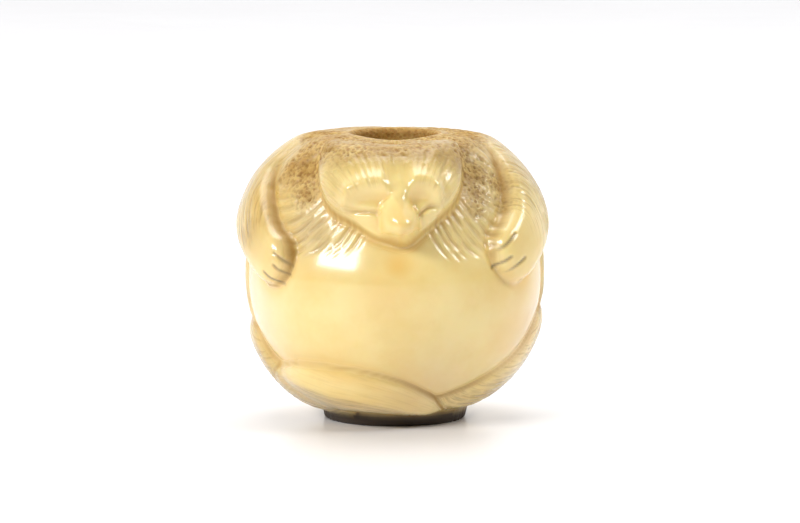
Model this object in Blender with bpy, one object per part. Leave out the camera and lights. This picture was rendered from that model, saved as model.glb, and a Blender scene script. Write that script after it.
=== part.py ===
"""Ojime bead: a raccoon dog leaning over its round belly, carved from one piece of stag antler.

The bead is a ball with a cord hole through it from top to bottom, and flat lands round the
hole above and below. The carving is a height over the ball, worked out for each direction seen
from the ball's centre. A direction is a longitude, from the front towards the viewer's right,
and a latitude, above the middle, in degrees. Lengths in the carving are in carving units, and
one unit is a millimetre on a bead 18 mm wide.
"""

import bpy
import numpy as np

MM = 0.001

# Driving sizes of the bead
BEAD_WIDTH = 18.0 * MM  # across the two arms
BEAD_DEPTH = 17.0 * MM  # belly to back
BEAD_HEIGHT = 16.6 * MM  # foot to top land
CORD_HOLE = 4.9 * MM  # diameter of the hole for the doubled cord
TOP_MOUTH = 0.30 * MM  # rounding of the hole's upper mouth
FOOT_MOUTH = 0.30 * MM  # rounding of the hole's lower mouth
FOOT_WIDTH = 8.2 * MM  # diameter of the flat that the bead stands on
FOOT_FLARE = 0.12  # how far the foot's side widens for each unit of height
FOOT_BLEND = 0.50 * MM  # rounding where the foot's side meets the carving
FOOT_TOP = -45.0  # latitude that the foot's side doesn't reach above
LAND_SOFTNESS = 0.50 * MM  # how far the carving rolls over into the top land
FOOT_SOFTNESS = 0.25 * MM  # how far the carving rolls over into the foot
ROUGH_ALLOWANCE = 0.05 * MM  # left on the top and the foot for the last flat cut

# Fineness of the carving's grid, of the faceted solid made from it, and of the hole
GRID_AROUND = 300
GRID_DOWN = 180
BODY_TRIANGLES = 8600
HOLE_SIDES = 64
MOUTH_STEPS = 3

# The ball under the carving, which is squarer above its middle than below
UNIT = BEAD_WIDTH / 18.0
CENTRE_HEIGHT = 0.5 * BEAD_HEIGHT
BALL_HALF_WIDTH = 0.473 * BEAD_WIDTH
BALL_HALF_DEPTH = 0.495 * BEAD_DEPTH
BALL_TOP_REACH = 0.548 * BEAD_HEIGHT
BALL_FOOT_REACH = 0.507 * BEAD_HEIGHT
TOP_SQUARENESS = 2.3
FOOT_SQUARENESS = 2.0

# Carving units from here on
BALL_RADIUS = 8.9  # turns an angle into a length over the surface
FORM_SQUARENESS = 2.6  # fullness of a rounded form's section
WALL_STEEPNESS = 3.0  # fall of a form's side beyond its rounded edge
CREASE = 0.10  # rounding where one form meets the next
GROOVE_PLACE = 1.06  # middle of the groove round a form, in its half widths
GROOVE_REACH = 0.16

# Arms: route from the paw to the shoulder, half width and height along it
LEFT_ARM = ((-54.4, 10.8), (-65.3, 17.0), (-78.2, 24.5), (-91.5, 32), (-105, 40), (-119, 47), (-133, 53))
RIGHT_ARM = ((54.2, 13.1), (62.8, 19.0), (73.0, 27.3), (83, 35.2), (95, 42.5), (110, 49), (126, 55))
LEFT_ARM_HALF_WIDTHS = (1.64, 1.68, 1.92, 2.32, 2.72, 3.1, 3.3)
RIGHT_ARM_HALF_WIDTHS = (1.75, 1.86, 2.20, 2.56, 2.85, 3.1, 3.3)
LEFT_ARM_HEIGHTS = (0.95, 1.05, 1.12, 1.02, 0.80, 0.55, 0.35)
RIGHT_ARM_HEIGHTS = (0.95, 1.02, 1.00, 0.84, 0.62, 0.42, 0.30)
ARM_GROOVE = 0.14

# Toes: each groove's two ends on a paw, and its depth and half width
LEFT_TOES = (((-51.5, 16.5), (-44.0, 11.5)), ((-55.0, 12.5), (-44.5, 7.0)), ((-60.5, 8.5), (-50.5, 3.0)))
RIGHT_TOES = (((56.0, 20.5), (46.5, 14.0)), ((57.0, 15.0), (46.0, 8.5)), ((62.5, 12.5), (52.5, 5.5)))
TOE_DEPTH = 0.20
TOE_HALF_WIDTH = 0.15
TOE_RUN_OUT = 0.25  # share of a toe's groove in which it runs out, at each end

# Hind legs: route from the hip to the toe under the tail
LEFT_LEG = ((-96, -32), (-88, -40), (-75, -47), (-58, -53), (-40, -56))
RIGHT_LEG = ((94, -27), (86, -37), (72, -45), (54, -51), (36, -54), (24, -54))
LEFT_LEG_HALF_WIDTHS = (2.35, 2.25, 1.95, 1.55, 1.0)
RIGHT_LEG_HALF_WIDTHS = (2.35, 2.25, 1.95, 1.55, 1.0, 0.6)
LEFT_LEG_HEIGHTS = (0.78, 0.80, 0.78, 0.60, 0.40)
RIGHT_LEG_HEIGHTS = (0.60, 0.60, 0.54, 0.46, 0.38, 0.28)
LEG_GROOVE = 0.11

# Tail: route from its round end at the left to its tip, and the offset of its ridge
TAIL = (
    (-66, -43.5), (-50, -44.5), (-34, -45.6), (-18, -46.5),
    (-4, -48.8), (9, -52.2), (21, -55.2), (32, -57.5),
)
TAIL_HALF_WIDTHS = (1.35, 1.90, 2.10, 2.00, 1.70, 1.28, 0.86, 0.25)
TAIL_HEIGHTS = (0.62, 0.80, 0.92, 0.95, 0.92, 0.84, 0.70, 0.42)
TAIL_RIDGE = (0.70, 0.42, 0.26, 0.16, 0.10, 0.05, 0.0, 0.0)  # shares of the half width, upwards
TAIL_FALL = 0.34  # share of the height lost from the ridge to the edges
TAIL_GROOVE = 0.16

# Belly, chest and back. A pair of angles is where a change starts, and over how many degrees
BELLY_TOP = (2.0, 19.0)  # the belly turns in under the chest
CHEST_DEPTH = 0.46
CHEST_SIDE = (40.0, 30.0)  # the chest rises again beside the arms
CHEST_CROWN = (46.0, 18.0)  # and under the top of the head
FLANK = 87.0  # longitude where the belly meets the furred back, at the belly's middle
FLANK_BOW = 0.010  # how the belly's edge curves forward above and below, for each square degree
FLANK_MIDDLE = -4.0  # latitude of the belly's middle
FLANK_STEP = 3.0
FLANK_GROOVE = 0.22
FLANK_GROOVE_PLACE = -1.5
FLANK_GROOVE_REACH = 1.6
FLANK_GROOVE_END = (34.0, 12.0)
BACK_HEIGHT = 0.16
HAUNCH = (128, -34)
HAUNCH_RADIUS = 5.2
HAUNCH_HEIGHT = 0.42
HAUNCH_SINK = 0.25  # share of the haunch's height that lies under the back
HAUNCH_BLEND = 0.50

# Head: it lies in a plane tilted back, with across and up measured from the plane's centre. A pair
# of lengths is where a change starts, and over what length
FACE_TILT = 35.0
FACE_RADIUS = 9.1
SKULL_CENTRE = (-0.23, 2.30)
SKULL_HALF = (4.0, 3.70)
SKULL_SQUARENESS = 2.6
CHEEK_CENTRE = (-0.12, 0.20)
CHEEK_RADIUS = 2.48
NOSE_CENTRE = (0.40, -1.64)
NOSE_RADIUS = 1.14
CHEEK_BLEND = 0.50
HEAD_HEIGHT = 0.95
JAW_HEIGHT = 0.36
JAW_RISE = (-1.5, 3.0)  # in the face's own lengths, from the jaw up to the brow
EDGE_UP = (-2.6, 0.0, 1.2, 3.6)
HEAD_EDGE = (0.50, 1.25, 1.25, 2.20)  # how far the edge is rounded, at each place up the head
HEAD_GROOVE = 0.12
HEAD_GROOVE_WIDTH = 1.6
HEAD_TOP = (1.6, 1.6)  # the edge melts into the rim of the hole
TOP_CREASE = 0.50
EAR = (3.05, 4.75)
EAR_RADIUS = 0.95
EAR_HEIGHT = 0.25

# Face: aside and up from the face's own middle, which is turned a little to the viewer's right
FACE_MIDDLE = (0.38, -0.90)
FACE_ROLL = 3.0
FACE_TURN = 0.20  # how much the nearer side of the face is spread and the farther side narrowed
BRIDGE_SIDE = (0.35, 0.50)
ARCH = (
    (0.0, -0.45), (0.24, 0.05), (0.46, 0.70), (0.72, 1.08), (1.25, 1.22),
    (1.8, 1.08), (2.3, 0.76), (2.75, 0.30), (3.5, -0.7), (4.6, -2.2),
)  # the brow's lower edge, which overhangs the eye socket
ARCH_STEP = 0.34
ARCH_SOFTNESS = 0.11
ARCH_END = (2.2, 0.8)
BROW_SWELL = 0.30
BROW_RISE = 0.34
BROW_HALF_WIDTH = 0.52
FURROW_DEPTH = 0.14
FURROW_HALF_WIDTH = 0.40
FURROW_START = (1.2, 0.8)
FURROW_END = (4.2, 1.6)
SOCKET_DROP = 0.42  # from the arch down to the deepest line of the socket
SOCKET_HALF_WIDTH = 0.44
SOCKET_DEPTH = 0.17
SOCKET_END = (1.9, 1.0)
CHEEK_HOLLOW = (2.2, -0.25)
CHEEK_HOLLOW_HALF = (0.9, 0.5)
CHEEK_HOLLOW_DEPTH = 0.10
LEFT_LID = ((0.95, -0.10), (1.24, 0.03), (1.60, 0.12), (1.95, 0.21), (2.30, 0.32), (2.70, 0.50))
RIGHT_LID = ((0.95, -0.60), (1.13, -0.30), (1.47, -0.02), (1.88, 0.22), (2.35, 0.29), (2.88, 0.33))
LID_DEPTH = 0.24
LID_HALF_WIDTH = 0.13
LID_ENDS = ((0.90, 0.3), (2.2, 0.6))
UPPER_LID = (0.24, 0.18, 0.10)  # over the slit: how far up, half width and height of the lid's swelling
LOWER_LID = (-0.24, 0.18, 0.10)
LEFT_EYE = (1.75, 0.34, 0.04)
RIGHT_EYE = (1.95, -0.12, 0.15)
EYE_HALF = (0.52, 0.26)
EYE_SLANT = 0.30
SNOUT_UP = (1.20, -2.0)  # from between the brows to the nose
SNOUT_MIDDLES = (0.0, 0.0, -0.28, -0.25, -0.12, -0.10, -0.08, 0.0, 0.02)
SNOUT_HALF_WIDTHS = (0.26, 0.54, 0.88, 1.10, 1.14, 1.14, 1.12, 1.06, 0.98)
SNOUT_HEIGHTS = (1.02, 1.26, 1.42, 1.56, 1.74, 1.90, 1.98, 1.96, 1.84)
SNOUT_SQUARENESS = 2.5
SNOUT_BLEND = 0.20
NOSE_HOLLOW = (0.30, -0.48)
NOSE_HOLLOW_HALF = (0.26, 0.36)
NOSE_HOLLOW_DEPTH = 0.10
NOTCH_DEPTH = 0.16
NOTCH_HALF_WIDTH = 0.12
NOTCH_TOP = (-1.40, 0.30)

ANTLER = (0.79, 0.68, 0.42, 1.0)
ANTLER_ROUGHNESS = 0.32


def unit_directions(longitude, latitude):
    """The unit vector of a direction: -Y is the front, +X the viewer's right, +Z up."""
    lon, lat = np.radians(longitude), np.radians(latitude)
    return np.stack([np.sin(lon) * np.cos(lat), -np.cos(lon) * np.cos(lat), np.sin(lat)], axis=-1)


def smooth_max(a, b, blend):
    """The greater of two heights, with the corner between them rounded over a height of blend."""
    share = np.clip(0.5 + 0.5 * (a - b) / blend, 0.0, 1.0)
    return b + (a - b) * share + blend * share * (1.0 - share)


def smooth_min(a, b, blend):
    return -smooth_max(-a, -b, blend)


def ease(x):
    """A smooth step from 0 to 1."""
    x = np.clip(x, 0.0, 1.0)
    return x * x * (3.0 - 2.0 * x)


def mound(x):
    """A bell: 1 in the middle and near nothing at two half widths."""
    return np.exp(-np.square(x))


def past(place, change):
    """How far a change has gone, from 0 at the place where it starts to 1 when it is over."""
    start, length = change
    return ease((place - start) / length)


def rounded_form(distance):
    """Height of a rounded form over its edge: an arc inside distance 1, a steep wall outside."""
    inside = np.sqrt(np.clip(1.0 - np.abs(distance) ** FORM_SQUARENESS, 0.0, None))
    return np.where(distance < 1.0, inside, WALL_STEEPNESS * (1.0 - distance))


def smooth_route(points, steps=160):
    """A Catmull-Rom curve through the points, sampled evenly between each two of them."""
    points = np.array(points, float)
    ends = np.vstack([2 * points[0] - points[1], points, 2 * points[-1] - points[-2]])
    at = np.linspace(0.0, len(points) - 1.0, steps)
    i = np.minimum(at.astype(int), len(points) - 2)
    t = (at - i)[:, None]
    a, b, c, d = ends[i], ends[i + 1], ends[i + 2], ends[i + 3]
    bend = (2 * a - 5 * b + 4 * c - d) * t**2
    return 0.5 * (2 * b + (c - a) * t + bend + (3 * b - 3 * c + d - a) * t**3)


def follow(directions, points):
    """Along a route over the ball: share of the way, distance to its left, distance past its ends."""
    route = smooth_route(points)
    route = unit_directions(route[:, 0], route[:, 1])
    tangent = np.gradient(route, axis=0)
    step = np.linalg.norm(tangent, axis=1)
    tangent /= step[:, None]
    nearest = np.argmax(directions @ route.T, axis=-1)
    ahead = np.sum((directions - route[nearest]) * tangent[nearest], axis=-1)
    along = np.clip((nearest + ahead / step[nearest]) / (len(route) - 1), 0.0, 1.0)
    sideways = np.cross(route, tangent)[nearest]
    left = BALL_RADIUS * np.arcsin(np.clip(np.sum(directions * sideways, axis=-1), -1.0, 1.0))
    behind = np.sum(directions * route[nearest], axis=-1) < 0.0
    left = np.where(behind, 4.0 * BALL_RADIUS, left)
    beyond = np.where(nearest == 0, -ahead, np.where(nearest == len(route) - 1, ahead, 0.0))
    return along, left, BALL_RADIUS * np.clip(beyond, 0.0, None)


def spread(values, along):
    """Values given at even steps along a route, read at each share of the way."""
    return np.interp(along, np.linspace(0.0, 1.0, len(values)), values)


def limb(directions, points, half_widths, heights):
    """A limb laid over the ball: its height, and the distance from its middle in half widths."""
    along, left, beyond = follow(directions, points)
    distance = np.hypot(left, beyond) / spread(half_widths, along)
    return spread(heights, along) * rounded_form(distance), distance


def toe_groove(directions, ends):
    """A short straight cut that runs out at both ends."""
    along, left, beyond = follow(directions, ends)
    run_out = ease(np.minimum(along, 1.0 - along) / TOE_RUN_OUT)
    return -TOE_DEPTH * run_out * mound(np.hypot(left, beyond) / TOE_HALF_WIDTH)


def edge_groove(distance, depth):
    """The cut that a carver leaves round a form, just outside its edge."""
    return -depth * mound((distance - GROOVE_PLACE) / GROOVE_REACH)


def trunk(directions, longitude, latitude):
    """Belly, chest, flanks, back and haunches, before the limbs and the head are laid on."""
    side = np.abs(longitude)
    past_flank = side - FLANK + FLANK_BOW * np.square(latitude - FLANK_MIDDLE)
    chest = past(latitude, BELLY_TOP) * (1.0 - past(side, CHEST_SIDE)) * (1.0 - past(latitude, CHEST_CROWN))
    back = ease(past_flank / FLANK_STEP + 0.5)
    valley = mound((past_flank - FLANK_GROOVE_PLACE) / FLANK_GROOVE_REACH)
    clear = ease((FLANK_GROOVE_END[0] - np.abs(latitude)) / FLANK_GROOVE_END[1])
    height = BACK_HEIGHT * back - CHEST_DEPTH * chest - FLANK_GROOVE * valley * clear
    for sign in (-1.0, 1.0):
        centre = unit_directions(sign * HAUNCH[0], HAUNCH[1])
        away = BALL_RADIUS * np.arccos(np.clip(directions @ centre, -1.0, 1.0)) / HAUNCH_RADIUS
        haunch = BACK_HEIGHT + HAUNCH_HEIGHT * (rounded_form(away) - HAUNCH_SINK)
        height = smooth_max(height, haunch, HAUNCH_BLEND)
    return height


def head_outline(across, up):
    """Distance outside the head's outline: a squared-off skull joined to a cone that ends in the nose."""
    x = np.abs((across - SKULL_CENTRE[0]) / SKULL_HALF[0])
    y = np.abs((up - SKULL_CENTRE[1]) / SKULL_HALF[1])
    size = (x**SKULL_SQUARENESS + y**SKULL_SQUARENESS) ** (1.0 / SKULL_SQUARENESS)
    skull = (size - 1.0) * SKULL_HALF[1]
    start, end = np.array(CHEEK_CENTRE), np.array(NOSE_CENTRE)
    axis = end - start
    length = np.hypot(*axis)
    axis = axis / length
    down = (across - start[0]) * axis[0] + (up - start[1]) * axis[1]
    aside = np.abs((across - start[0]) * axis[1] - (up - start[1]) * axis[0])
    narrowing = (CHEEK_RADIUS - NOSE_RADIUS) / length
    slant = np.sqrt(1.0 - narrowing**2)
    place = np.clip(down - aside * narrowing / slant, 0.0, length)
    cone = np.hypot(aside, down - place) - (CHEEK_RADIUS - narrowing * place)
    return smooth_min(skull, cone, CHEEK_BLEND)


def path_mound(x, y, points, half_width):
    """A soft ridge along a curve in the face's plane, thinning towards the curve's ends."""
    route = smooth_route(points, 48)
    squared = np.square(x[..., None] - route[:, 0]) + np.square(y[..., None] - route[:, 1])
    nearest = np.argmin(squared, axis=-1)
    along = nearest / (len(route) - 1)
    thinning = 0.3 + 0.7 * np.sin(np.pi * along)
    return mound(np.sqrt(np.min(squared, axis=-1)) / half_width) * thinning


def brow_and_socket(x, y, side):
    """The plain head, lower at the jaw, with brows that overhang the sockets, and a furrow between."""
    arch = smooth_route(ARCH)
    above = y - np.interp(side, arch[:, 0], arch[:, 1])
    beside_bridge = past(side, BRIDGE_SIDE)
    outer = past(side, ARCH_END)
    step = 0.5 + 0.5 * np.tanh(0.5 * above / ARCH_SOFTNESS)
    height = JAW_HEIGHT + (HEAD_HEIGHT - JAW_HEIGHT) * past(y, JAW_RISE)
    height = height + ARCH_STEP * (step + outer * (0.5 - step))
    swell = mound((above - BROW_RISE) / BROW_HALF_WIDTH) * (1.0 - outer)
    height = height + BROW_SWELL * swell * beside_bridge
    furrow = mound(x / FURROW_HALF_WIDTH) * past(y, FURROW_START) * ease((FURROW_END[0] - y) / FURROW_END[1])
    socket = mound((above + SOCKET_DROP) / SOCKET_HALF_WIDTH) * (1.0 - past(side, SOCKET_END))
    return height - FURROW_DEPTH * furrow - SOCKET_DEPTH * socket * beside_bridge


def lids(side, y, slit, eye):
    """An eye's slit between two swollen lids, with the eye's ball under them."""
    route = smooth_route(slit)
    over = y - np.interp(side, route[:, 0], route[:, 1])
    ends = past(side, LID_ENDS[0]) * (1.0 - past(side, LID_ENDS[1]))
    height = -LID_DEPTH * path_mound(side, y, slit, LID_HALF_WIDTH)
    for place, half_width, rise in (UPPER_LID, LOWER_LID):
        height = height + rise * ends * mound((over - place) / half_width)
    level = y - eye[1] - EYE_SLANT * (side - eye[0])
    away = np.hypot((side - eye[0]) / EYE_HALF[0], level / EYE_HALF[1])
    return height + eye[2] * mound(away**1.5)


def muzzle(x, y):
    """The bridge and the snout, widening down to the round nose."""
    down = (SNOUT_UP[0] - y) / (SNOUT_UP[0] - SNOUT_UP[1])
    share = np.abs(x - spread(SNOUT_MIDDLES, down)) / spread(SNOUT_HALF_WIDTHS, down)
    section = np.clip(1.0 - share**SNOUT_SQUARENESS, 0.0, None) ** (1.0 / SNOUT_SQUARENESS)
    return spread(SNOUT_HEIGHTS, down) * section


def dent(x, y, centre, half):
    return mound(np.hypot((x - centre[0]) / half[0], (y - centre[1]) / half[1]))


def face_height(across, up):
    """Height of the face over the ball: brows, sockets, lids, eyes, bridge, muzzle and nose."""
    roll = np.radians(FACE_ROLL)
    x = across - FACE_MIDDLE[0]
    y = up - FACE_MIDDLE[1]
    x, y = x * np.cos(roll) + y * np.sin(roll), y * np.cos(roll) - x * np.sin(roll)
    side = np.abs(x) / (1.0 - FACE_TURN * np.sign(x))
    height = brow_and_socket(x, y, side)
    height = height - CHEEK_HOLLOW_DEPTH * dent(side, y, CHEEK_HOLLOW, CHEEK_HOLLOW_HALF)
    left, right = lids(side, y, LEFT_LID, LEFT_EYE), lids(side, y, RIGHT_LID, RIGHT_EYE)
    height = height + np.where(x < 0.0, left, right)
    height = smooth_max(height, muzzle(x, y), SNOUT_BLEND)
    height = height - NOSE_HOLLOW_DEPTH * dent(x, y, NOSE_HOLLOW, NOSE_HOLLOW_HALF)
    return height - NOTCH_DEPTH * mound(x / NOTCH_HALF_WIDTH) * ease((NOTCH_TOP[0] - y) / NOTCH_TOP[1])


def lay_head(directions, height):
    """The head over the chest. Its edge is crisp round the jaw and melts into the rim at the top."""
    tilt = np.radians(FACE_TILT)
    across = FACE_RADIUS * directions[..., 0]
    up = FACE_RADIUS * (directions[..., 1] * np.sin(tilt) + directions[..., 2] * np.cos(tilt))
    facing = directions[..., 2] * np.sin(tilt) - directions[..., 1] * np.cos(tilt)
    outside = np.where(facing > 0.1, head_outline(across, up), 3.0 * FACE_RADIUS)
    edge = np.interp(up, EDGE_UP, HEAD_EDGE)
    rounding = rounded_form(1.0 + np.clip(outside / edge, -1.0, None))
    ears = 0.0
    for sign in (-1.0, 1.0):
        ears = ears + EAR_HEIGHT * dent(across, up, (sign * EAR[0], EAR[1]), (EAR_RADIUS, EAR_RADIUS))
    inside = (face_height(across, up) + ears) * rounding
    skull = np.where(outside < 0.0, inside, HEAD_HEIGHT * rounding)
    top = past(up, HEAD_TOP)
    groove = edge_groove(1.0 + outside / HEAD_GROOVE_WIDTH, HEAD_GROOVE) * (1.0 - top)
    return smooth_max(height + groove, skull, CREASE + (TOP_CREASE - CREASE) * top)


def lay_tail(directions, height):
    """The tail over the belly and the left leg: a leaf with a ridge that runs into its tip."""
    along, left, beyond = follow(directions, TAIL)
    half_width = spread(TAIL_HALF_WIDTHS, along)
    ridge = spread(TAIL_RIDGE, along)
    offset = left / half_width - ridge
    slope = np.clip(np.abs(offset) / np.where(offset > 0.0, 1.0 - ridge, 1.0 + ridge), 0.0, 1.0)
    distance = np.hypot(left, beyond) / half_width
    tail = spread(TAIL_HEIGHTS, along) * rounded_form(distance) * (1.0 - TAIL_FALL * slope)
    return smooth_max(height + edge_groove(distance, TAIL_GROOVE), tail, CREASE)


def carving(directions, longitude, latitude):
    """Height of the whole carving over the ball, in carving units."""
    height = trunk(directions, longitude, latitude)
    left = (LEFT_LEG, LEFT_LEG_HALF_WIDTHS, LEFT_LEG_HEIGHTS)
    right = (RIGHT_LEG, RIGHT_LEG_HALF_WIDTHS, RIGHT_LEG_HEIGHTS)
    for points, half_widths, heights in (left, right):
        leg, distance = limb(directions, points, half_widths, heights)
        height = smooth_max(height + edge_groove(distance, LEG_GROOVE), leg, CREASE)
    left = (LEFT_ARM, LEFT_ARM_HALF_WIDTHS, LEFT_ARM_HEIGHTS, LEFT_TOES)
    right = (RIGHT_ARM, RIGHT_ARM_HALF_WIDTHS, RIGHT_ARM_HEIGHTS, RIGHT_TOES)
    for points, half_widths, heights, toes in (left, right):
        arm, distance = limb(directions, points, half_widths, heights)
        for toe in toes:
            arm = arm + toe_groove(directions, toe)
        height = smooth_max(height + edge_groove(distance, ARM_GROOVE), arm, CREASE)
    return lay_tail(directions, lay_head(directions, height))


def ball_radius(longitude, latitude):
    """Distance from the centre to the bare ball."""
    lon, lat = np.radians(longitude), np.radians(latitude)
    half = 1.0 / np.hypot(np.sin(lon) / BALL_HALF_WIDTH, np.cos(lon) / BALL_HALF_DEPTH)
    upper = lat > 0.0
    power = np.where(upper, TOP_SQUARENESS, FOOT_SQUARENESS)
    reach = np.where(upper, BALL_TOP_REACH, BALL_FOOT_REACH)
    flat, tall = np.cos(lat) / half, np.abs(np.sin(lat)) / reach
    return (flat**power + tall**power) ** (-1.0 / power)


def carved_radius(longitude, latitude):
    """Distance from the centre to the carved surface, levelled off above and below."""
    directions = unit_directions(longitude, latitude)
    sine, cosine = np.sin(np.radians(latitude)), np.cos(np.radians(latitude))
    radius = ball_radius(longitude, latitude) + UNIT * carving(directions, longitude, latitude)
    foot_side = (0.5 * FOOT_WIDTH + FOOT_FLARE * CENTRE_HEIGHT) / (cosine - FOOT_FLARE * sine)
    radius = np.where(latitude < FOOT_TOP, smooth_max(radius, foot_side, FOOT_BLEND), radius)
    above = BEAD_HEIGHT - CENTRE_HEIGHT + ROUGH_ALLOWANCE
    below = CENTRE_HEIGHT + ROUGH_ALLOWANCE
    radius = smooth_min(radius, above / np.maximum(sine, 0.1), LAND_SOFTNESS)
    return smooth_min(radius, below / np.maximum(-sine, 0.1), FOOT_SOFTNESS)


def body_mesh():
    """The carved body without its hole: rings of points from the top down, with a point at each end."""
    around = np.arange(GRID_AROUND) * 360.0 / GRID_AROUND
    down = np.linspace(90.0, -90.0, GRID_DOWN + 2)[1:-1]
    longitude, latitude = np.meshgrid((around + 180.0) % 360.0 - 180.0, down)
    points = unit_directions(longitude, latitude) * carved_radius(longitude, latitude)[..., None]
    points[..., 2] += CENTRE_HEIGHT
    ends = np.array([[0.0, 0.0, points[0, :, 2].mean()], [0.0, 0.0, points[-1, :, 2].mean()]])
    corner = np.arange(GRID_DOWN * GRID_AROUND).reshape(GRID_DOWN, GRID_AROUND)
    beside = np.roll(corner, -1, axis=1)
    sides = np.stack([corner[:-1], corner[1:], beside[1:], beside[:-1]], axis=-1).reshape(-1, 4)
    top, foot = corner.size, corner.size + 1
    faces = sides.tolist()
    faces += [(top, a, b) for a, b in zip(corner[0], beside[0])]
    faces += [(foot, b, a) for a, b in zip(corner[-1], beside[-1])]
    return np.vstack([points.reshape(-1, 3), ends]), faces


def cutter_profile():
    """Radius and height down the spool that cuts the foot, the hole with its mouths, and the top land."""
    hole, clear = 0.5 * CORD_HOLE, BEAD_WIDTH
    turn = np.linspace(0.0, 0.5 * np.pi, MOUTH_STEPS + 1)
    top = [(hole + TOP_MOUTH * (1 - np.sin(a)), BEAD_HEIGHT - TOP_MOUTH * (1 - np.cos(a))) for a in turn]
    foot = [(hole + FOOT_MOUTH * (1 - np.cos(a)), FOOT_MOUTH * (1 - np.sin(a))) for a in turn]
    lid = [(0.0, BEAD_HEIGHT + clear), (clear, BEAD_HEIGHT + clear), (clear, BEAD_HEIGHT)]
    base = [(clear, 0.0), (clear, -clear), (0.0, -clear)]
    return lid + top + foot + base


def antler_material():
    material = bpy.data.materials.new("stag antler")
    material.use_nodes = True
    shader = material.node_tree.nodes["Principled BSDF"]
    shader.inputs["Base Color"].default_value = ANTLER
    shader.inputs["Roughness"].default_value = ANTLER_ROUGHNESS
    return material


def new_object(name, points, faces):
    mesh = bpy.data.meshes.new(name)
    mesh.from_pydata([tuple(p) for p in points], [], faces)
    mesh.update()
    mesh.shade_smooth()
    made = bpy.data.objects.new(name, mesh)
    bpy.context.scene.collection.objects.link(made)
    return made


def make_cutter():
    """The spool, turned about the hole's axis."""
    profile = cutter_profile()
    angles = np.arange(HOLE_SIDES) * 2.0 * np.pi / HOLE_SIDES
    rings = [[(r * np.cos(a), r * np.sin(a), z) for a in angles] for r, z in profile[1:-1]]
    ends = [(0.0, 0.0, profile[0][1]), (0.0, 0.0, profile[-1][1])]
    points = [p for ring in rings for p in ring] + ends
    corner = np.arange(len(rings) * HOLE_SIDES).reshape(len(rings), HOLE_SIDES)
    beside = np.roll(corner, -1, axis=1)
    sides = np.stack([corner[:-1], corner[1:], beside[1:], beside[:-1]], axis=-1)
    faces = sides.reshape(-1, 4).tolist()
    faces += [(corner.size, a, b) for a, b in zip(corner[0], beside[0])]
    faces += [(corner.size + 1, b, a) for a, b in zip(corner[-1], beside[-1])]
    cutter = new_object("hole_and_land_cutter", points, faces)
    cutter.hide_render = True
    cutter.display_type = "WIRE"
    return cutter


def make_bead():
    """The whole bead as one solid, centred over its foot."""
    points, faces = body_mesh()
    bead = new_object("tanuki_bead", points, faces)
    bead.data.materials.append(antler_material())
    fewer = bead.modifiers.new("fewer facets", "DECIMATE")
    fewer.ratio = BODY_TRIANGLES / (2.0 * len(faces))
    cutter = make_cutter()
    cut = bead.modifiers.new("hole and lands", "BOOLEAN")
    cut.operation = "DIFFERENCE"
    cut.object = cutter
    middle = 0.5 * (points.min(axis=0) + points.max(axis=0))
    for piece in (bead, cutter):
        piece.location = (-middle[0], -middle[1], 0.0)
    return bead


for leftover in list(bpy.data.objects):
    bpy.data.objects.remove(leftover, do_unlink=True)
make_bead()
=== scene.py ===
"""An ojime bead carved from one piece of stag antler: a raccoon dog leaning over its own round belly,
with a cord hole from top to bottom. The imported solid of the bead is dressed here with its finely
carved and stained surface, and stands on a pale studio table.
"""

import bpy
import numpy as np
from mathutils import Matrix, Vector


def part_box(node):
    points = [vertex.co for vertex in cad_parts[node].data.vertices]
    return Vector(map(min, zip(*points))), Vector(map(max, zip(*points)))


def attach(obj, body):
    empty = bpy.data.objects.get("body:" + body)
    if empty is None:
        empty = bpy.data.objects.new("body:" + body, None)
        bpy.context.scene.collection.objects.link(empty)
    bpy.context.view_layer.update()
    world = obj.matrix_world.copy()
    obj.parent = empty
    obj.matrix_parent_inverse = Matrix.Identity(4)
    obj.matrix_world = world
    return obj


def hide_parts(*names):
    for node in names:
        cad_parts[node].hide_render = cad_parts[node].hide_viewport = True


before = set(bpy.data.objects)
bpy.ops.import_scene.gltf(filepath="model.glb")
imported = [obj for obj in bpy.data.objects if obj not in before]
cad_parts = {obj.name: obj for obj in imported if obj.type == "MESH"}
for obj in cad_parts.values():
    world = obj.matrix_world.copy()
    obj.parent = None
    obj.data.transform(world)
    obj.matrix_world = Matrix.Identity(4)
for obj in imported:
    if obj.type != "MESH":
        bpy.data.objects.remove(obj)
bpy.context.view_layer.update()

# The view
# A long lens looks at the bead from the front and a little above the table, as for a catalogue.
MM = 0.001
VIEW_TARGET = Vector((0.434, 0.0, 9.13)) * MM
VIEW_DISTANCE = 280.0 * MM
VIEW_ELEVATION = np.radians(7.0)
VIEW_WIDTH = 46.3 * MM  # what the picture's width takes in at the target
SENSOR = 36.0

lens = bpy.data.cameras.new("catalogue_camera")
lens.sensor_width = SENSOR
lens.lens = SENSOR * VIEW_DISTANCE / VIEW_WIDTH
lens.clip_start = 10.0 * MM
camera = bpy.data.objects.new("catalogue_camera", lens)
back_off = Vector((0.0, -np.cos(VIEW_ELEVATION), np.sin(VIEW_ELEVATION)))
camera.location = VIEW_TARGET + VIEW_DISTANCE * back_off
camera.rotation_euler = back_off.to_track_quat("Z", "Y").to_euler()
bpy.context.scene.collection.objects.link(camera)
bpy.context.scene.camera = camera
bpy.context.scene.view_settings.view_transform = "Standard"

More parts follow.
